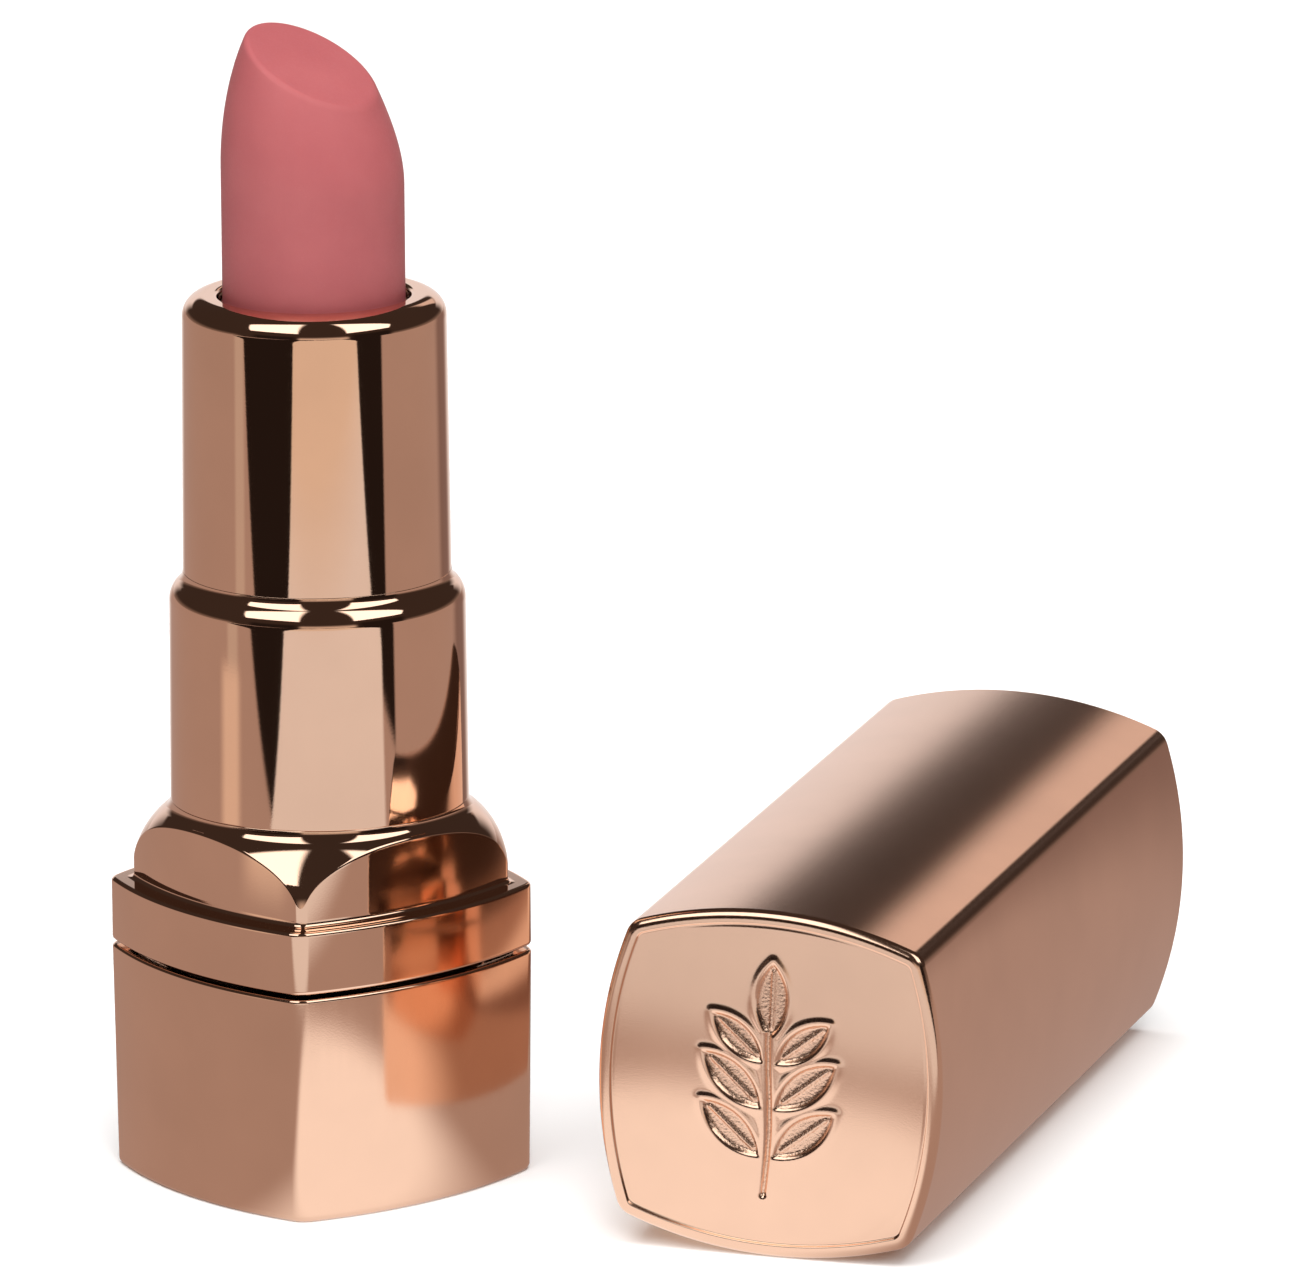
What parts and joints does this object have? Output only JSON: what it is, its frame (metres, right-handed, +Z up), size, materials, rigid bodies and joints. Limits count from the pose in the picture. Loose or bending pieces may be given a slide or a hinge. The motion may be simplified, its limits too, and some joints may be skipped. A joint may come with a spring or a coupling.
{
  "type": "lipstick case",
  "caption": "Swivel lipstick case in rose-gold metallised finish: square base and collar, stepped round tube, stick raised, with its square cap lying beside it.",
  "frame": {"origin": "centre of the case's standing face, on the swivel axis", "axes": "+Z up along the swivel axis; the cap lies beside the case along Y, with its closed end towards -Y and its mouth towards +Y"},
  "size_m": [0.0604, 0.0618, 0.0772],
  "materials": {
    "metallised_satin": "vacuum-metallised rose gold, slightly satin",
    "metallised_mirror": "vacuum-metallised rose gold, mirror bright",
    "metallised_cap": "vacuum-metallised rose gold, fine satin grain",
    "stick": "moulded wax, velvety matte dusty rose",
    "white_acetal": "natural moulded acetal",
    "black_abs": "moulded black ABS",
    "liner_plastic": "moulded polypropylene, soft sheen",
    "steel": "zinc-plated",
    "nylon": "natural nylon",
    "silicone": "clear grey silicone, greased",
    "adhesive_foam": "die-cut adhesive foam",
    "label_film": "blank matte label film"
  },
  "bodies": {
    "base": {"base_cup": "metallised_satin", "shade_label": "label_film", "base_weight_pad": "adhesive_foam", "base_weight": "steel", "base_insert": "black_abs", "guide_tube": "white_acetal"},
    "upper_case": {"collar": "metallised_mirror", "lower_sleeve": "metallised_mirror", "tube_shell": "metallised_mirror", "spiral_sleeve": "white_acetal", "retaining_ring": "steel", "thrust_washer": "nylon", "brake_ring": "silicone"},
    "carrier": {"carrier_cup": "white_acetal", "lipstick_bullet": "stick"},
    "cap": {"cap_shell": "metallised_cap", "cap_liner": "liner_plastic", "cap_weight": "steel", "cap_weight_pad": "adhesive_foam"}
  },
  "joints": [
    {"name": "base_twist", "type": "hinge", "parent": "base", "child": "upper_case", "pos_m": [0, 0, 0.0154], "axis": [0, 0, 1], "range_deg": [0, 495]},
    {"name": "carrier_slide", "type": "slide", "parent": "base", "child": "carrier", "axis": [0, 0, 1], "range_m": [-0.022, 0]},
    {"name": "cap_lift", "type": "slide", "parent": "base", "child": "cap", "axis": [0, 0, 1], "range_m": [0, 0.09]}
  ],
  "couplings": [
    {"joint": "carrier_slide", "follows": "base_twist", "m_per_rad": -0.0025465}
  ]
}
